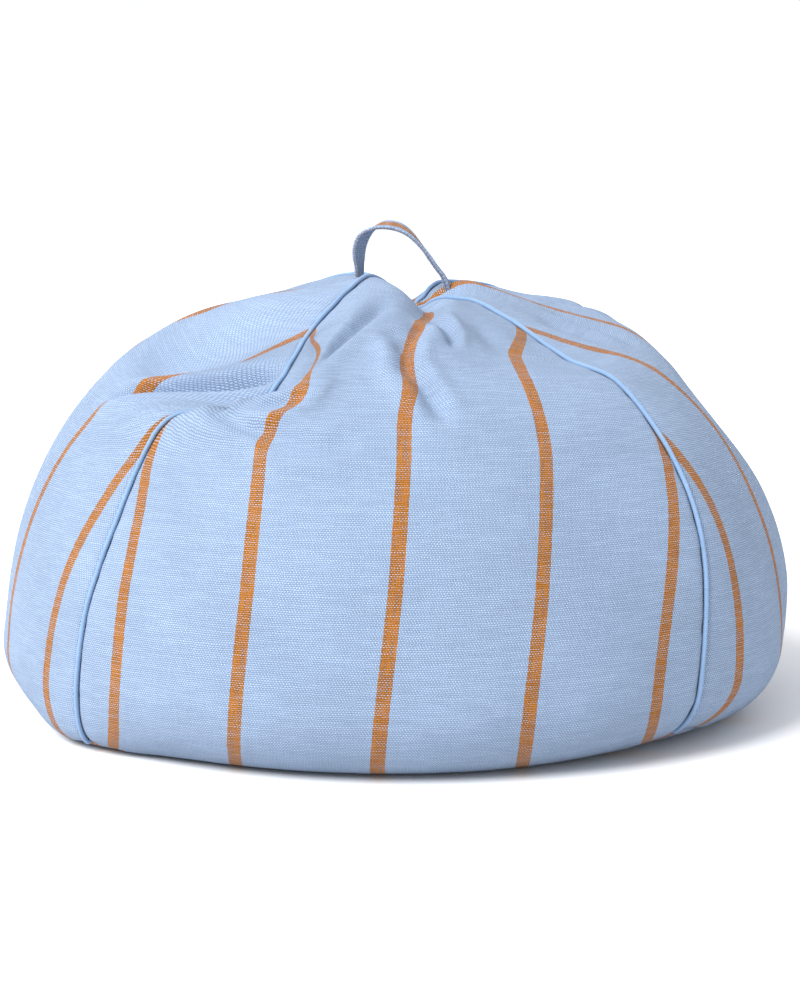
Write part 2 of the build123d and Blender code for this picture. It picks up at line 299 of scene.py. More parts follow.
def settle(theta, s, r, z):
    """Outward movement, and the (x, y, z) movement, of the cover from its round outline."""
    t = np.radians(theta)
    x = r * np.sin(t)
    y = -r * np.cos(t)
    # the crown's valleys lie on the middles of the gores, but the right gore has a ridge there
    risen = 1 - 2.2 * np.exp(-(around(theta, 92) / 26) ** 2)
    out = smooth(r, 0.0, 0.03) * (1 - smooth(r, 0.05, 0.15)) * CROWN_VALLEY * -np.cos(4 * t) * risen
    for row in DENTS:
        out = out + patch(theta, s, r, row) * row[6] / 1000
    for row in CREASES:
        out = out + crease(theta, s, r, row)
    crown = smooth(z, 0.2, 0.3)
    for seed, (height, size, low, rise) in enumerate(RIPPLES, 1):
        out = out + height * waves(x, y, z, size, seed) * (low + rise * crown)
    out = out * smooth(s, 0.0, 0.06)
    pull = slump(theta, s, r)
    for row in PULLS:
        weight = patch(theta, s, r, row)
        for axis in range(3):
            pull[axis] = pull[axis] + weight * row[6][axis] / 1000
    upper = z > 0.1
    pinch = np.exp(-(r / 0.03) ** 2) * upper
    groove = np.exp(-(x / 0.02) ** 2) * smooth(r, 0.006, 0.045) * (1 - smooth(r, 0.09, 0.19))
    pull[0] = pull[0] + CROWN_LEAN * smooth(z, 0.24, 0.31) * (1 - smooth(r, 0.0, 0.2))
    pull[0] = pull[0] + PINCH_RIGHT * pinch
    pull[2] = pull[2] - PINCH_DOWN * pinch
    pull[2] = pull[2] - GROOVE_DEPTH * groove * upper
    pull[2] = pull[2] - RIGHT_DROP * smooth(x, 0.0, 0.05) * smooth(z, 0.29, 0.325)
    return out, pull


def slide(theta, s):
    """Degrees round and metres up that the cloth has crept."""
    r = np.maximum(meridian(s)[0], 0.03)
    across, along = 0.0, 0.0
    for degrees, arc, wide, long, (round_mm, up_mm) in SLIDES:
        a = np.radians(around(theta, degrees)) * r * 1000 / wide
        weight = np.exp(-a * a - ((s * 1000 - arc) / long) ** 2)
        across = across + np.degrees(round_mm / 1000 / r) * weight
        along = along + up_mm / 1000 * weight
    return across, along


def surface(theta, s, out=0.0):
    """Points of the filled cover, out metres proud of its outer face."""
    theta, s, out = np.broadcast_arrays(*(np.asarray(values, float) for values in (theta, s, out)))
    across, along = slide(theta, s)
    theta, s = theta + across, s + along
    r, z, heading = meridian(s)
    moved, pull = settle(theta, s, r, z)
    depth = out + moved
    turn = np.radians(theta + turned_degrees(z, r))
    radius = r + np.sin(heading) * depth
    x = radius * np.sin(turn) + pull[0]
    y = -radius * np.cos(turn) + pull[1]
    height = z - np.cos(heading) * depth + pull[2]
    return np.stack([x, y, height], axis=-1)


# ---- the base seam: it rises at the four corners, and once more at the front right ----
SEAM_LOW_S = -0.004
SEAM_HIGH_S = 0.034
CORNER_DEGREES = 9.0
SEAM_UNEVEN = 0.0022
SEAM_LIFT = 0.016


def seam_arc(theta):
    theta = np.asarray(theta, float)
    corner = (theta % 90) - 45
    t = np.radians(theta)
    risen = (SEAM_HIGH_S - SEAM_LOW_S) * np.exp(-(corner / CORNER_DEGREES) ** 2)
    uneven = SEAM_UNEVEN * waves(np.cos(t), np.sin(t), 0 * t, 0.11, 9)
    lifted = SEAM_LIFT * np.exp(-((around(theta, 60)) / 12) ** 2)
    return SEAM_LOW_S + risen + uneven + lifted


# ---- mesh helpers ----
def grid_faces(rows, cols, closed=False):
    i = np.arange(rows - 1)[:, None]
    j = np.arange(cols if closed else cols - 1)[None, :]
    k = (j + 1) % cols
    quads = np.stack([i * cols + j, i * cols + k, (i + 1) * cols + k, (i + 1) * cols + j], axis=-1)
    return quads.reshape(-1, 4)


def make_mesh(name, points, faces, uvs, material):
    """uvs holds one (u, v) for each face corner, shaped like faces."""
    mesh = bpy.data.meshes.new(name)
    mesh.from_pydata(points.reshape(-1, 3).tolist(), [], faces.tolist())
    layer = mesh.uv_layers.new(name="cloth")
    layer.data.foreach_set("uv", uvs.reshape(-1).astype(np.float32))
    mesh.polygons.foreach_set("use_smooth", np.ones(len(mesh.polygons), bool))
    mesh.materials.append(material)
    mesh.update()
    obj = bpy.data.objects.new(name, mesh)
    scene.collection.objects.link(obj)
    return obj


def grid_piece(name, points, uv, material, closed=False):
    rows, cols = points.shape[:2]
    faces = grid_faces(rows, cols, closed)
    corner_uv = uv.reshape(-1, 2)[faces]
    return make_mesh(name, points, faces, corner_uv, material)


def thicken(obj, thickness):
    solid = obj.modifiers.new("thickness", "SOLIDIFY")
    solid.thickness = thickness
    solid.offset = -1
    return obj


def tube_points(path, radius, sides):
    """Rings of points round a path; radius is a number, or (rings, sides)."""
    tangent = np.gradient(path, axis=0)
    tangent /= np.linalg.norm(tangent, axis=1, keepdims=True)
    side = np.cross(tangent[0], (0.3, 0.2, 1.0))
    side /= np.linalg.norm(side)
    rings = []
    angles = np.linspace(0, 2 * math.pi, sides, endpoint=False)
    radius = np.broadcast_to(radius, (len(path), sides))
    for k in range(len(path)):
        side = side - tangent[k] * np.dot(side, tangent[k])
        side /= np.linalg.norm(side)
        other = np.cross(tangent[k], side)
        offset = np.cos(angles)[:, None] * side + np.sin(angles)[:, None] * other
        rings.append(path[k] + offset * radius[k][:, None])
    return np.array(rings)


def tube(name, path, radius, sides, material):
    points = tube_points(path, radius, sides)
    length = np.concatenate([[0], np.cumsum(np.linalg.norm(np.diff(path, axis=0), axis=1))])
    width = 2 * math.pi * float(np.mean(radius))
    rows = len(path)
    faces = grid_faces(rows, sides, True)
    i = np.repeat(np.arange(rows - 1), sides)
    j = np.tile(np.arange(sides), rows - 1)
    u0, u1 = j / sides * width, (j + 1) / sides * width
    v0, v1 = length[i], length[i + 1]
    uvs = np.stack([np.stack(corner, -1) for corner in ((u0, v0), (u1, v0), (u1, v1), (u0, v1))], 1)
    obj = make_mesh(name, points, faces, uvs, material)
    add_faces(obj.data, [range(sides)[::-1], range((rows - 1) * sides, rows * sides)])
    return obj


def add_faces(mesh, loops):
    work = bmesh.new()
    work.from_mesh(mesh)
    work.verts.ensure_lookup_table()
    for loop in loops:
        work.faces.new([work.verts[k] for k in loop])
    work.to_mesh(mesh)
    work.free()


# ---- materials ----
class Tree:
    """Builds one material's nodes."""

    def __init__(self, name):
        self.material = bpy.data.materials.new(name)
        self.material.use_nodes = True
        self.nodes = self.material.node_tree.nodes
        self.links = self.material.node_tree.links
        self.shader = self.nodes["Principled BSDF"]

    def put(self, socket, value):
        if isinstance(value, bpy.types.NodeSocket):
            self.links.new(value, socket)
        elif hasattr(value, "__len__") and len(value) == 3 and socket.type == "RGBA":
            socket.default_value = (*value, 1)
        else:
            socket.default_value = value

    def math(self, operation, a, b=0.0, c=0.0):
        node = self.nodes.new("ShaderNodeMath")
        node.operation = operation
        for socket, value in zip(node.inputs, (a, b, c)):
            self.put(socket, value)
        return node.outputs[0]

    def add(self, a, b):
        return self.math("ADD", a, b)

    def subtract(self, a, b):
        return self.math("SUBTRACT", a, b)

    def multiply(self, a, b):
        return self.math("MULTIPLY", a, b)

    def blend(self, a, b, c):
        """a times b plus c."""
        return self.math("MULTIPLY_ADD", a, b, c)

    def off_middle(self, value):
        """How far the fractional part of value is from one half, below it as minus."""
        return self.subtract(self.math("FRACT", value), 0.5)

    def size(self, value):
        return self.math("ABSOLUTE", value)

    def mottled(self, vector, scale, low, high):
        """Cloudy shade between low and high."""
        return self.ramp(self.noise(vector, scale, 3.0), 0.3, 0.7, low, high)

    def ramp(self, value, low, high, to_low=0.0, to_high=1.0):
        node = self.nodes.new("ShaderNodeMapRange")
        node.interpolation_type = "SMOOTHSTEP"
        for k, item in enumerate((value, low, high, to_low, to_high)):
            self.put(node.inputs[k], item)
        return node.outputs[0]

    def mix(self, share, a, b):
        node = self.nodes.new("ShaderNodeMix")
        node.data_type = "RGBA"
        self.put(node.inputs["Factor"], share)
        self.put(node.inputs[6], a)
        self.put(node.inputs[7], b)
        return node.outputs[2]

    def scale_colour(self, colour, factor):
        node = self.nodes.new("ShaderNodeVectorMath")
        node.operation = "SCALE"
        self.put(node.inputs[0], colour)
        self.put(node.inputs["Scale"], factor)
        return node.outputs[0]

    def vector(self, x, y, z=0.0):
        node = self.nodes.new("ShaderNodeCombineXYZ")
        for socket, value in zip(node.inputs, (x, y, z)):
            self.put(socket, value)
        return node.outputs[0]

    def noise(self, vector, scale, detail=1.0):
        node = self.nodes.new("ShaderNodeTexNoise")
        self.put(node.inputs["Vector"], vector)
        node.inputs["Scale"].default_value = scale
        node.inputs["Detail"].default_value = detail
        return node.outputs[0]

    def cells(self, vector, scale):
        node = self.nodes.new("ShaderNodeTexVoronoi")
        self.put(node.inputs["Vector"], vector)
        node.inputs["Scale"].default_value = scale
        return node.outputs["Distance"]

    def uv(self):
        node = self.nodes.new("ShaderNodeUVMap")
        node.uv_map = "cloth"
        split = self.nodes.new("ShaderNodeSeparateXYZ")
        self.links.new(node.outputs[0], split.inputs[0])
        return split.outputs[0], split.outputs[1]

    def place(self):
        node = self.nodes.new("ShaderNodeTexCoord")
        return node.outputs["Object"]

    def split(self, vector):
        node = self.nodes.new("ShaderNodeSeparateXYZ")
        self.links.new(vector, node.inputs[0])
        return node.outputs

    def bump(self, height, distance, strength=1.0):
        node = self.nodes.new("ShaderNodeBump")
        node.inputs["Strength"].default_value = strength
        node.inputs["Distance"].default_value = distance
        self.put(node.inputs["Height"], height)
        self.links.new(node.outputs[0], self.shader.inputs["Normal"])

    def finish(self, colour, roughness, sheen=0.0, metallic=0.0):
        self.put(self.shader.inputs["Base Color"], colour)
        self.put(self.shader.inputs["Roughness"], roughness)
        self.shader.inputs["Sheen Weight"].default_value = sheen
        self.shader.inputs["Sheen Roughness"].default_value = 0.5
        self.shader.inputs["Metallic"].default_value = metallic
        self.shader.inputs["Specular IOR Level"].default_value = 0.2
        return self.material


# threads and stripes (m) and yarn colours
WARP_PITCH = 0.00100
WEFT_PITCH = 0.00145
STRIPE_PITCH = 0.1
STRIPE_HALF_W = 0.005
BLUE_WARP = (0.168, 0.238, 0.365)
BLUE_WEFT = (0.270, 0.342, 0.455)
OCHRE = (0.285, 0.098, 0.002)
STRIPE_COVER = 1.15    # the ochre ends are thicker than the blue ones
THREAD_BACK = 0.9
THREAD_LIFT = 0.6
STITCH_LINE = 0.012    # from the zip's middle
STITCH_PITCH = 0.0032
STITCH_THREAD = (0.34, 0.46, 0.66)


def rounded(tree, across):
    """A thread's round back, 1 along its middle and 0 at its sides."""
    return tree.subtract(1.0, tree.math("POWER", tree.size(tree.multiply(across, 2.0)), 2.2))


def weave(tree, u, v, warp_pitch, weft_pitch, wander=1.0):
    """A plain weave: height, how far the warp is over the weft, warp thread number, thread thicknesses."""
    drift_u = tree.blend(tree.noise(tree.vector(u, v), 260), 0.0009 * wander, -0.00045 * wander)
    drift_v = tree.blend(tree.noise(tree.vector(v, u, 3.0), 170), 0.0014 * wander, -0.0007 * wander)
    a = tree.math("DIVIDE", tree.add(u, drift_u), warp_pitch)
    b = tree.math("DIVIDE", tree.add(v, drift_v), weft_pitch)
    warp = tree.math("FLOOR", a)
    weft = tree.math("FLOOR", b)
    in_warp = tree.off_middle(a)
    in_weft = tree.off_middle(b)
    warp_place = tree.vector(tree.multiply(warp, 3.17), tree.multiply(v, 55.0))
    weft_place = tree.vector(tree.multiply(u, 40.0), tree.multiply(weft, 3.71), 9.0)
    slub_warp = tree.ramp(tree.noise(warp_place, 1.0, 2.0), 0.3, 0.7, 0.85, 1.12)
    slub_weft = tree.ramp(tree.noise(weft_place, 1.0, 2.0), 0.3, 0.75, 0.84, 1.16)
    parity = tree.math("FLOORED_MODULO", tree.add(warp, weft), 2.0)
    sign = tree.blend(parity, -2.0, 1.0)
    warp_lift = tree.multiply(sign, tree.math("COSINE", tree.multiply(in_weft, math.pi)))
    weft_lift = tree.multiply(sign, tree.multiply(tree.math("COSINE", tree.multiply(in_warp, math.pi)), -1.0))
    warp_back = tree.multiply(rounded(tree, in_warp), slub_warp)
    weft_back = tree.multiply(rounded(tree, in_weft), slub_weft)
    warp_z = tree.blend(warp_back, THREAD_BACK, tree.multiply(warp_lift, THREAD_LIFT))
    weft_z = tree.blend(weft_back, THREAD_BACK, tree.multiply(weft_lift, THREAD_LIFT))
    height = tree.math("MAXIMUM", warp_z, weft_z)
    return height, tree.subtract(warp_z, weft_z), warp, slub_warp, slub_weft


def striped_cloth(name, stitches=False):
    tree = Tree(name)
    u, v = tree.uv()
    height, lead, warp, slub_warp, slub_weft = weave(tree, u, v, WARP_PITCH, WEFT_PITCH)
    thread_u = tree.multiply(tree.add(warp, 0.5), WARP_PITCH)
    repeat = tree.add(tree.math("DIVIDE", thread_u, STRIPE_PITCH), 0.5)
    off_centre = tree.multiply(tree.size(tree.off_middle(repeat)), STRIPE_PITCH)
    in_stripe = tree.math("LESS_THAN", off_centre, STRIPE_HALF_W)
    blue = tree.scale_colour(BLUE_WARP, tree.ramp(slub_warp, 0.85, 1.12, 0.96, 1.05))
    ochre = tree.scale_colour(OCHRE, tree.ramp(slub_warp, 0.85, 1.12, 0.8, 1.15))
    warp_colour = tree.mix(in_stripe, blue, ochre)
    weft_colour = tree.scale_colour(BLUE_WEFT, tree.ramp(slub_weft, 0.84, 1.16, 0.95, 1.06))
    cover = tree.blend(in_stripe, STRIPE_COVER, lead)
    colour = tree.mix(tree.ramp(cover, -0.12, 0.12), weft_colour, warp_colour)
    # painted shade and light: the colour darkens in the low gaps between threads and lightens on the raised
    # thread tops
    thread_gap_shade = tree.ramp(height, 0.1, 1.25, 0.44, 1.22)
    mottle = tree.mottled(tree.vector(u, v, 1.0), 14.0, 0.955, 1.045)
    colour = tree.scale_colour(colour, tree.multiply(thread_gap_shade, mottle))
    relief = height
    if stitches:
        line = tree.ramp(tree.size(tree.subtract(tree.size(u), STITCH_LINE)), 0.0003, 0.0006, 1.0, 0.0)
        along = tree.off_middle(tree.math("DIVIDE", v, STITCH_PITCH))
        thread = tree.multiply(line, tree.ramp(tree.size(along), 0.34, 0.42, 1.0, 0.0))
        colour = tree.mix(thread, colour, STITCH_THREAD)
        relief = tree.blend(thread, 1.2, height)
    fuzz = tree.noise(tree.vector(u, v, 2.0), 2600.0, 1.0)
    tree.bump(tree.blend(fuzz, 0.35, relief), 0.0004, 0.95)
    return tree.finish(colour, 0.92, sheen=0.06)


def plain_cloth(name, colour, pitch, sheen=0.15, depth=0.00012):
    """Fine plain weave of one yarn colour."""
    tree = Tree(name)
    u, v = tree.uv()
    height, _, _, _, slub_weft = weave(tree, u, v, pitch, pitch * 1.15, 0.35)
    # uneven slub tone of the yarn, with painted shade darkening the gaps between threads
    slub_and_gap_shade = tree.multiply(tree.ramp(slub_weft, 0.84, 1.16, 0.95, 1.05), tree.ramp(height, 0.1, 0.95, 0.72, 1.05))
    mottle = tree.mottled(tree.vector(u, v, 1.0), 30.0, 0.95, 1.05)
    tree.bump(height, depth, 0.8)
    return tree.finish(tree.scale_colour(colour, tree.multiply(slub_and_gap_shade, mottle)), 0.85, sheen=sheen)


def object_cloth(name, colour, scale, sheen=0.1, depth=0.00012):
    """Fine weave from the piece's own place, for pieces the frame supplies."""
    tree = Tree(name)
    x, y, z = tree.split(tree.place())
    rib = tree.math("SINE", tree.multiply(tree.add(x, tree.size(y)), scale))
    fill = tree.math("SINE", tree.multiply(tree.add(y, tree.multiply(z, 0.7)), scale * 0.8))
    height = tree.blend(tree.multiply(rib, fill), 0.5, 0.5)
    mottle = tree.mottled(tree.place(), 60.0, 0.93, 1.07)
    # random mottle, with painted shade darkening the grooves of the weave
    shade = tree.multiply(mottle, tree.ramp(height, 0.0, 1.0, 0.8, 1.05))
    tree.bump(height, depth, 0.7)
    return tree.finish(tree.scale_colour(colour, shade), 0.85, sheen=sheen)


def twisted_cord(name, colour):
    tree = Tree(name)
    u, v = tree.uv()
    lay = tree.math("SINE", tree.multiply(tree.add(u, v), 2400.0))
    fibre = tree.noise(tree.vector(u, v), 1800.0, 2.0)
    height = tree.blend(fibre, 0.4, lay)
    tree.bump(height, 0.0003, 0.8)
    # painted shade: the colour darkens down the grooves of the twist, with uneven fibre tone
    return tree.finish(tree.scale_colour(colour, tree.ramp(height, -1.0, 1.3, 0.7, 1.05)), 0.9, sheen=0.1)


def enamel(name, colour, bare):
    """Painted metal, rubbed thin where it is handled."""
    tree = Tree(name)
    worn = tree.ramp(tree.noise(tree.place(), 420.0, 4.0), 0.6, 0.72)
    grain = tree.noise(tree.place(), 1500.0, 2.0)
    colour = tree.mix(tree.multiply(worn, 0.5), colour, bare)
    tree.bump(grain, 0.00006, 0.4)
    return tree.finish(colour, tree.ramp(grain, 0.3, 0.7, 0.32, 0.5), metallic=0.55)


def satin_nylon(name, colour):
    tree = Tree(name)
    speck = tree.noise(tree.place(), 900.0, 2.0)
    tinted = tree.scale_colour(colour, tree.ramp(speck, 0.3, 0.7, 0.9, 1.08))
    tree.bump(speck, 0.00004, 0.4)
    return tree.finish(tinted, tree.ramp(speck, 0.3, 0.7, 0.3, 0.45))


def foam_beads(name):
    tree = Tree(name)
    distance = tree.cells(tree.place(), 260.0)
    fine = tree.noise(tree.place(), 1400.0, 2.0)
    # painted shade: grey in the gaps between the beads, white on the beads themselves
    white = tree.mix(tree.ramp(distance, 0.1, 0.75), (0.88, 0.88, 0.88), (0.5, 0.51, 0.53))
    tree.bump(tree.blend(fine, 0.1, tree.multiply(distance, -1.0)), 0.0016, 0.9)
    return tree.finish(white, 0.75)


def studio_floor(name):
    tree = Tree(name)
    cloudy = tree.noise(tree.place(), 3.0, 2.0)
    tree.bump(cloudy, 0.0005, 0.05)
    return tree.finish(tree.mix(tree.ramp(cloudy, 0.3, 0.7), (0.79, 0.79, 0.79), (0.81, 0.81, 0.81)), 0.9)


CLOTH = striped_cloth("striped_cloth")
BASE_CLOTH = striped_cloth("striped_base_cloth", stitches=True)
STRAP_CLOTH = striped_cloth("striped_strap_cloth")
PIPING_CLOTH = plain_cloth("piping_cloth", (0.185, 0.29, 0.455), 0.00045, sheen=0.2, depth=0.00007)
CORD = twisted_cord("cotton_cord", (0.7, 0.68, 0.62))
PATCH_CLOTH = plain_cloth("patch_cloth", (0.19, 0.26, 0.39), 0.0008)
LINER_CLOTH = plain_cloth("liner_cloth", (0.74, 0.74, 0.72), 0.0006, sheen=0.05)
LINER_BASE_CLOTH = object_cloth("liner_base_cloth", (0.74, 0.74, 0.72), 5200.0)
TAPE = object_cloth("zip_tape", (0.24, 0.36, 0.56), 4200.0, depth=0.0001)
LINER_TAPE = object_cloth("liner_zip_tape", (0.72, 0.72, 0.70), 4200.0, depth=0.0001)
LABEL = object_cloth("label_cloth", (0.8, 0.8, 0.78), 9000.0, sheen=0.3, depth=0.00005)
COIL = satin_nylon("zip_coil", (0.20, 0.31, 0.50))
LINER_COIL = satin_nylon("liner_zip_coil", (0.7, 0.7, 0.68))
METAL = enamel("zip_metal", (0.18, 0.28, 0.46), (0.55, 0.56, 0.58))
LINER_METAL = enamel("liner_zip_metal", (0.6, 0.6, 0.6), (0.7, 0.7, 0.7))
BEADS = foam_beads("beads")

# ---- the four gores of the cover ----
# metres, beside the piping; the lowest the cloth goes; and the cloth's thickness
SEAM_HALF_GAP = 0.0010
LOWEST_Z = 0.0004
CLOTH_T = 0.0011
GORES = {"panel_front": 0, "panel_right": 90, "panel_back": 180, "panel_left": 270}
GORE_COLUMNS = 171
GORE_ROWS = 231
EDGE_CROWDING = 0.84    # columns stand closer together towards the seams
GORE_TOP_GAP = 0.0032


def gore_points(middle):
    spread = np.linspace(-1, 1, GORE_COLUMNS)
    across = np.sin(spread * math.pi / 2 * EDGE_CROWDING) / math.sin(math.pi / 2 * EDGE_CROWDING)
    t = np.linspace(0, 1, GORE_ROWS)
    top = TOP_S - GORE_TOP_GAP
    start = seam_arc(middle + across * 45.0)
    s = start[None, :] + (top - start[None, :]) * t[:, None]
    r = meridian(s)[0]
    half = 45.0 - np.degrees(np.arcsin(np.clip(SEAM_HALF_GAP / np.maximum(r, 0.003), 0, 0.7)))
    theta = across[None, :] * half
    return theta, s, r


def seam_shape(theta, s, r, phase):
    """The turned edge beside a seam, the cloth's swelling next to it and its small puckers."""
    gap = np.maximum(np.radians(45.0 - np.abs(theta)) * r, 0) * 1000
    side = np.where(theta > 0, 1.0, 2.0)
    turned = -1.3 * np.exp(-((gap - 1.6) / 2.4) ** 2) * smooth(r, 0.02, 0.07)
    swell = 0.9 * (gap / 16) * np.exp(1 - gap / 16) * smooth(r, 0.03, 0.12)
    puckers = waves(s, side, side * 0 + phase, 0.0085, 5) * np.exp(-gap / 11) * smooth(r, 0.02, 0.08)
    return (turned + swell + 0.55 * puckers) / 1000


def gore(name, middle):
    theta, s, r = gore_points(middle)
    out = seam_shape(theta, s, r, middle / 90)
    bottom = (s - seam_arc(middle + theta)) * 1000
    out = out - 0.0016 * np.exp(-(bottom / 2.6) ** 2)
    hem = waves(theta / 57.3, s * 0 + middle, s * 0, 0.05, 8) * np.exp(-bottom / 14)
    out = out + 0.0006 * hem
    points = surface(middle + theta, s, out)
    points[..., 2] = np.maximum(points[..., 2], LOWEST_Z)
    uv = np.stack([np.radians(theta) * r, s], axis=-1)
    obj = grid_piece(name, points, uv, CLOTH)
    return thicken(obj, CLOTH_T)


def cover_gores():
    for name, middle in GORES.items():
        piece = gore(name.replace("panel", "gore"), middle)
        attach(piece, "bag")
        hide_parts(name)


# ---- the two base halves, cut from striped cloth, with a slot for the zip ----
SLOT_HALF_L = 0.224
SLOT_HALF_W = 0.0085
LIP_HEIGHTS = (0.0042, 0.0028, 0.0014)
BASE_ROWS = 60


def base_points(side):
    """A half of the base by angle; its inner edge follows the slot, and base_half turns it up into a lip."""
    along = np.linspace(-1, 1, 121)
    near = np.degrees(np.arctan2(along * SLOT_HALF_L, SLOT_HALF_W))
    angle = np.unique(np.round(np.concatenate([near, np.linspace(-90, 90, 181)]), 3))
    angle = angle[np.abs(angle) <= 90]
    radians = np.radians(angle)
    to_side = SLOT_HALF_W / np.maximum(np.cos(radians), 1e-6)
    to_end = SLOT_HALF_L / np.maximum(np.abs(np.sin(radians)), 1e-6)
    inner = np.minimum(to_side, to_end)
    theta = angle if side < 0 else 180 - angle
    theta = np.sort(theta)
    inner = inner if side < 0 else inner[::-1]
    outer = FLAT_R + seam_arc(theta) - 0.0004
    t = np.linspace(0, 1, BASE_ROWS)[:, None]
    rho = inner + (outer - inner) * t
    return theta, rho


def base_half(name, side):
    theta, rho = base_points(side)
    s = rho - FLAT_R
    edge = (FLAT_R + seam_arc(theta) - rho) * 1000
    tuck = -0.0014 * np.exp(-(edge / 2.4) ** 2)
    # near the slot the cloth isn't turned with the rest, as the zip is straight
    off_slot = np.abs(rho * np.cos(np.radians(theta)))
    share = (1 - smooth(off_slot, 0.02, 0.12)) * (1 - smooth(rho, SLOT_HALF_L + 0.002, rho[-1]))
    straight = turned_degrees(0.0, rho) * share
    flat = surface(theta - straight, s, tuck)
    flat[..., 2] = np.maximum(flat[..., 2], LOWEST_Z)
    pattern = np.stack([rho * np.sin(np.radians(theta)), -rho * np.cos(np.radians(theta))], axis=-1)
    rise = np.array(LIP_HEIGHTS)[:, None]
    lip = np.repeat(flat[:1], len(rise), axis=0)
    lip[..., 2] = rise
    lip_pattern = np.repeat(pattern[:1], len(rise), axis=0)
    lip_pattern[..., 1] -= side * rise
    points = np.concatenate([lip, flat])
    pattern = np.concatenate([lip_pattern, pattern])
    uv = pattern[..., ::-1]
    obj = grid_piece(name, points, uv, BASE_CLOTH)
    return thicken(obj, CLOTH_T)


def cover_base():
    for name, side in (("base_front", -1), ("base_back", 1)):
        piece = base_half(name + "_cloth", side)
        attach(piece, "bag")
        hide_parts(name)


# ---- piping and its cords ----
PIPING_R = 0.0017
PIPING_PROUD = 0.0004
PIPING_STEPS = 520
PIPING_SIDES = 16
CORD_R = 0.0011
CORD_STEPS = 900
CORD_SIDES = 12
CORD_LAY = 0.35
SEAMS = {"front_right": 45, "front_left": -45, "back_left": -135, "back_right": 135}


def seam_path(angle, steps):
    """The middle of a seam's piping; both its ends dive into the bag."""
    bottom = float(seam_arc(angle)) - 0.004
    s = np.linspace(bottom, TOP_S - 0.003, steps)
    r = meridian(s)[0]
    dive = 0.006 * (1 - smooth(r, 0.002, 0.009)) + 0.003 * (1 - smooth(s, bottom, bottom + 0.006))
    return surface(angle + 0 * s, s, PIPING_PROUD - dive)


def cover_piping():
    round_cord = np.linspace(0, 2 * math.pi, CORD_SIDES, endpoint=False)
    lay = np.arange(CORD_STEPS)[:, None] * CORD_LAY + round_cord[None, :]
    cord_r = CORD_R * (0.86 + 0.14 * np.abs(np.cos(1.5 * lay)))
    for name, angle in SEAMS.items():
        path = seam_path(angle, PIPING_STEPS)
        cover = tube("piping_" + name, path, PIPING_R, PIPING_SIDES, PIPING_CLOTH)
        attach(cover, "bag")
        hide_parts("piping_cover_" + name)
        path = seam_path(angle, CORD_STEPS)
        cord = tube("cord_" + name, path, cord_r, CORD_SIDES, CORD)
        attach(cord, "bag")
        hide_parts("piping_cord_" + name)


# ---- inner layers ----
RING_COLUMNS = 181
# metres inside the cover's outer face, and thicknesses
LINER_IN = 0.0032
LINER_T = 0.0008
PATCH_IN = 0.0021
PATCH_T = 0.0009
PATCH_REACH = 0.049
FILL_IN = 0.0052
FILL_BOTTOM_Z = 0.0048
FILL_OVER_ZIP_Z = 0.0096


def ring_grid(s_values, inward):
    theta = np.linspace(-180, 180, RING_COLUMNS, endpoint=False)[None, :]
    s = np.asarray(s_values)[:, None]
    return theta, s, surface(theta + 0 * s, s + 0 * theta, -inward)


def closed_dome(name, points, uv, material):
    """A piece right round the bag, closed at its top with one point."""
    obj = grid_piece(name, points, uv, material, closed=True)
    work = bmesh.new()
    work.from_mesh(obj.data)
    work.verts.ensure_lookup_table()
    edge = work.verts[(len(points) - 1) * RING_COLUMNS:]
    tip = work.verts.new(points[-1].mean(axis=0))
    for k, vert in enumerate(edge):
        work.faces.new([vert, edge[(k + 1) % len(edge)], tip]).smooth = True
    work.to_mesh(obj.data)
    work.free()
    return obj


def inner_layers():
    s = np.linspace(-0.0098, TOP_S - 0.002, 200)
    theta, rows, points = ring_grid(s, LINER_IN)
    uv = np.stack([np.radians(theta) * meridian(rows)[0], rows + 0 * theta], axis=-1)
    liner = closed_dome("liner_side", points, uv, LINER_CLOTH)
    thicken(liner, LINER_T)
    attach(liner, "bag")
    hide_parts("liner_wall")

    s = np.linspace(TOP_S - PATCH_REACH, TOP_S - 0.001, 26)
    theta, rows, points = ring_grid(s, PATCH_IN)
    left = TOP_S - rows
    uv = np.stack([left * np.cos(np.radians(theta)), left * np.sin(np.radians(theta))], axis=-1)
    cloth = closed_dome("crown_backing", points, uv, PATCH_CLOTH)
    thicken(cloth, PATCH_T)
    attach(cloth, "bag")
    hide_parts("crown_patch")

    s = np.linspace(-0.006, TOP_S - 0.002, 160)
    theta, rows, points = ring_grid(s, FILL_IN)
    points[0, :, 2] = FILL_BOTTOM_Z
    uv = np.stack([np.radians(theta) * meridian(rows)[0], rows + 0 * theta], axis=-1)
    fill = closed_dome("bead_filling", points, uv, BEADS)
    floor_under(fill, points[0])
    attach(fill, "bag")
    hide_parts("bead_fill")


def floor_under(obj, ring):
    """Closes the filling's underside, raised over the two zips."""
    work = bmesh.new()
    work.from_mesh(obj.data)
    work.verts.ensure_lookup_table()
    count = len(ring)
    previous = [work.verts[k] for k in range(count)]
    for share in (0.93, 0.86, 0.79, 0.72, 0.65, 0.58, 0.51, 0.44, 0.37, 0.3, 0.23, 0.16, 0.1, 0.05):
        current = []
        for k in range(count):
            x, y = ring[k][0] * share, ring[k][1] * share
            over_cover_zip = abs(y) < 0.024 and abs(x) < 0.238
            over_liner_zip = abs(y - 0.12) < 0.026 and abs(x) < 0.165
            height = FILL_OVER_ZIP_Z if over_cover_zip or over_liner_zip else FILL_BOTTOM_Z
            current.append(work.verts.new((x, y, height)))
        for k in range(count):
            n = (k + 1) % count
            work.faces.new([previous[n], previous[k], current[k], current[n]]).smooth = True
        previous = current
    work.faces.new(previous[::-1])
    work.to_mesh(obj.data)
    work.free()


# ---- hand loop ----
LOOP_MIDDLE = Vector((0.0045, 0.004, 0.3325))
LOOP_YAW = math.radians(-12)
LOOP_LEAN = math.radians(6)
LOOP_SPAN = 0.071
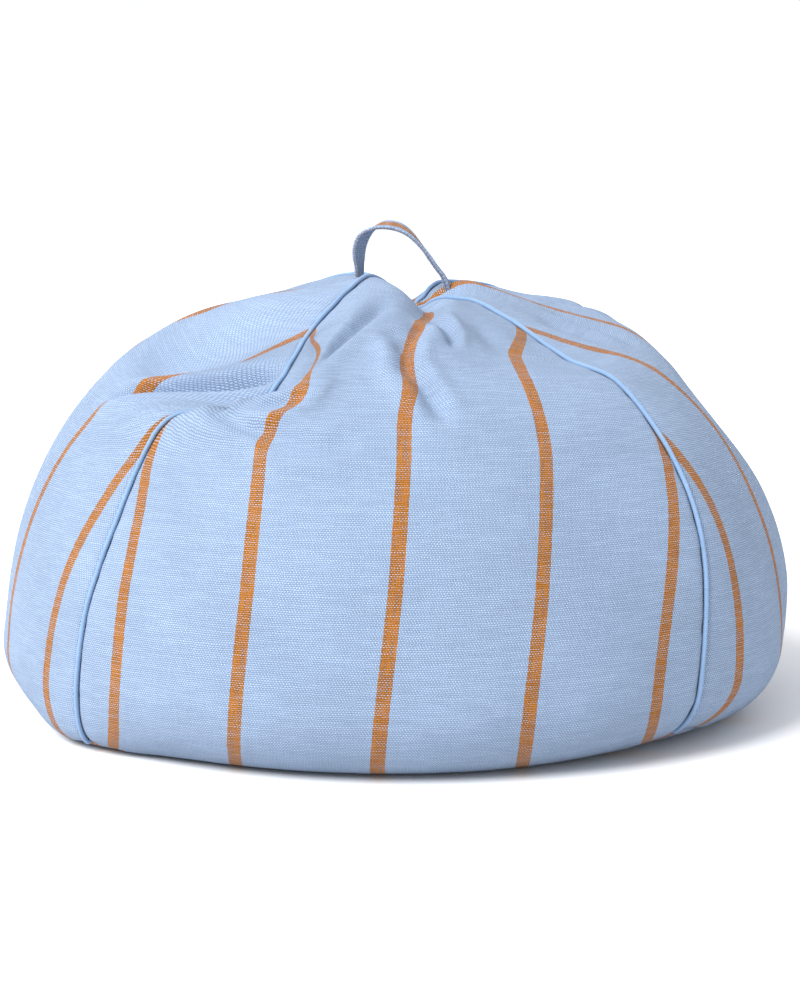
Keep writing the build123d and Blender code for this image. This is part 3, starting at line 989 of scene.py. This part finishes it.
# stations from the left foot to the right: (along, up) mm, half width mm, how far the face turns (degrees)
LOOP_STATIONS = [
    (0.0, -22.0, 3.6, 26),
    (0.4, -8.0, 3.8, 26),
    (1.0, 2.0, 4.4, 26),
    (1.0, 11.0, 6.0, 26),
    (2.0, 19.5, 7.4, 24),
    (5.6, 27.5, 8.4, 18),
    (12.5, 33.5, 8.9, 4),
    (22.0, 36.8, 9.0, -8),
    (33.5, 35.2, 9.0, -7),
    (43.5, 29.0, 8.8, 3),
    (53.5, 17.5, 7.4, 13),
    (62.0, 5.5, 5.4, 15),
    (69.0, -4.0, 4.2, 12),
    (72.0, -12.0, 3.8, 8),
    (72.5, -22.0, 3.6, 8),
]
STRAP_HALF_T = 0.00125
STRAP_ROWS = 150
FULL_HALF_W = 9.0


def even_spline(values, count):
    """Rows spread evenly along a smooth curve through values, and its length; two columns are the route."""
    values = np.array(values, float)
    padded = np.vstack([2 * values[0] - values[1], values, 2 * values[-1] - values[-2]])
    fine = []
    for k in range(1, len(padded) - 2):
        p0, p1, p2, p3 = padded[k - 1:k + 3]
        for t in np.linspace(0, 1, 24, endpoint=False):
            squared = (2 * p0 - 5 * p1 + 4 * p2 - p3) * t * t
            cubed = (3 * p1 - p0 - 3 * p2 + p3) * t ** 3
            fine.append(0.5 * (2 * p1 + (p2 - p0) * t + squared + cubed))
    fine.append(values[-1])
    fine = np.array(fine)
    length = np.concatenate([[0], np.cumsum(np.hypot(*np.diff(fine[:, :2], axis=0).T))])
    at = np.linspace(0, length[-1], count)
    return np.stack([np.interp(at, length, fine[:, k]) for k in range(fine.shape[1])], axis=1), length[-1]


def strap_section():
    """Cross-section: rounded flat strip with slightly thicker sewn edges."""
    face = [(x * 0.965, 1.0 + 0.12 * math.exp(-((abs(x) - 0.82) / 0.1) ** 2)) for x in np.linspace(-1, 1, 15)]
    rows = [(-1.0, 0.0), (-0.992, 0.6)] + face + [(0.992, 0.6), (1.0, 0.0), (0.992, -0.6)]
    return np.array(rows + [(x, -h) for x, h in face[::-1]] + [(-0.992, -0.6)])


def hand_loop():
    path, length = even_spline(LOOP_STATIONS, STRAP_ROWS)
    tangent = np.gradient(path[:, :2], axis=0)
    tangent /= np.linalg.norm(tangent, axis=1, keepdims=True)
    section = strap_section()
    sides = len(section)
    points = np.zeros((STRAP_ROWS, sides, 3))
    across = Vector((0, 1, 0))
    for k in range(STRAP_ROWS):
        along, up, half_w, turn = path[k]
        normal = Vector((-tangent[k][1], 0, tangent[k][0]))
        a = math.radians(turn)
        wide = across * math.cos(a) - normal * math.sin(a)
        thick = normal * math.cos(a) + across * math.sin(a)
        narrowed = 1 - half_w / FULL_HALF_W
        gather = 1.0 + 0.5 * narrowed
        for j, (x, h) in enumerate(section):
            fold = 0.0012 * narrowed * math.cos(3.2 * math.pi * x)
            middle = Vector((along / 1000, 0, up / 1000))
            points[k, j] = middle + wide * (x * half_w / 1000) + thick * (h * STRAP_HALF_T * gather + fold)
    points = place_loop(points)
    faces = grid_faces(STRAP_ROWS, sides, True)
    uv = np.zeros((STRAP_ROWS, sides, 2))
    uv[..., 0] = section[:, 0] * FULL_HALF_W / 1000 + np.where(section[:, 1] < 0, 0.02, 0.0)
    uv[..., 1] = np.linspace(0, length, STRAP_ROWS)[:, None] / 1000
    strap = make_mesh("strap", points, faces, uv.reshape(-1, 2)[faces], STRAP_CLOTH)
    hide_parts("handle_loop", "handle_sewn_ends")
    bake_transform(strap)


def place_loop(points):
    flat = points.reshape(-1, 3).copy()
    flat[:, 0] -= LOOP_SPAN / 2
    c, s = math.cos(LOOP_LEAN), math.sin(LOOP_LEAN)
    y = flat[:, 1] * c - flat[:, 2] * s
    z = flat[:, 1] * s + flat[:, 2] * c
    c, s = math.cos(LOOP_YAW), math.sin(LOOP_YAW)
    x = flat[:, 0] * c - y * s
    y = flat[:, 0] * s + y * c
    moved = np.stack([x, y, z], axis=1) + np.array(LOOP_MIDDLE)
    return moved.reshape(points.shape)


# ---- zip coils ----
COIL_PITCH = 0.0014
COIL_TURN_STEPS = 10
COIL_WIRE_R = 0.00027
# half length, height and middle of each zip's coils
COVER_ZIP = (0.217, 0.0049, 0.0)
LINER_ZIP = (0.143, 0.0043, 0.12)


def coil_path(zip_place, side):
    half_l, z, middle_y = zip_place
    turns = int(2 * half_l / COIL_PITCH)
    t = np.arange(turns * COIL_TURN_STEPS + 1) / COIL_TURN_STEPS
    x = -half_l + t * COIL_PITCH
    y = middle_y + side * (0.0019 + 0.00105 * np.cos(2 * math.pi * t))
    height = z + 0.0008 * np.sin(2 * math.pi * t)
    return np.stack([x, y, height], axis=1)


def zip_coils():
    for name, side in (("front", -1), ("back", 1)):
        piece = tube("coil_" + name, coil_path(COVER_ZIP, side), COIL_WIRE_R, 5, COIL)
        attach(piece, "bag")
        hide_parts("zip_coil_" + name)
    for k, side in enumerate((-1, 1)):
        piece = tube("liner_coil_%d" % k, coil_path(LINER_ZIP, side), COIL_WIRE_R, 5, LINER_COIL)
        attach(piece, "bag")
        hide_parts("liner_zip_coils")


def finish_frame_pieces():
    finishes = {
        "zip_tape_front": TAPE,
        "zip_tape_back": TAPE,
        "zip_stops": METAL,
        "zip_slider": METAL,
        "zip_pull": METAL,
        "liner_zip_tape_front": LINER_TAPE,
        "liner_zip_tape_back": LINER_TAPE,
        "liner_zip_stops": LINER_METAL,
        "liner_zip_slider": LINER_METAL,
        "liner_base": LINER_BASE_CLOTH,
        "care_label": LABEL,
    }
    for name, material in finishes.items():
        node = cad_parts[name]
        node.data.materials.clear()
        node.data.materials.append(material)


cover_gores()
cover_base()
cover_piping()
inner_layers()
hand_loop()
zip_coils()
finish_frame_pieces()


# ---- floor, world and lights ----
FLOOR_Z = -0.0003
FLOOR_SIZE = 24
FILL_LIGHT = (1, 1.02, 1.06, 1)


def add_floor():
    bpy.ops.mesh.primitive_plane_add(size=FLOOR_SIZE)
    floor = bpy.context.object
    floor.name = "floor"
    floor.location = (0, 0, FLOOR_Z)
    floor.data.materials.append(studio_floor("floor"))


def add_sun(name, azimuth, elevation, spread, strength):
    """Soft light from a broad source far off; azimuth in degrees from the front, + towards +X."""
    data = bpy.data.lights.new(name, "SUN")
    data.angle = math.radians(spread)
    data.energy = strength
    light = bpy.data.objects.new(name, data)
    scene.collection.objects.link(light)
    a, e = math.radians(azimuth), math.radians(elevation)
    source = Vector((math.sin(a) * math.cos(e), -math.cos(a) * math.cos(e), math.sin(e)))
    light.rotation_euler = (-source).to_track_quat("-Z", "Y").to_euler()


def add_world():
    """Even white fill, slightly blue as in the photograph's shaded folds."""
    world = bpy.data.worlds.new("studio")
    world.use_nodes = True
    background = world.node_tree.nodes["Background"]
    background.inputs[0].default_value = FILL_LIGHT
    background.inputs[1].default_value = 1.0
    scene.world = world


add_floor()
add_world()
add_sun("key", -50, 42, 34, 4.7)
scene.view_settings.view_transform = "Standard"
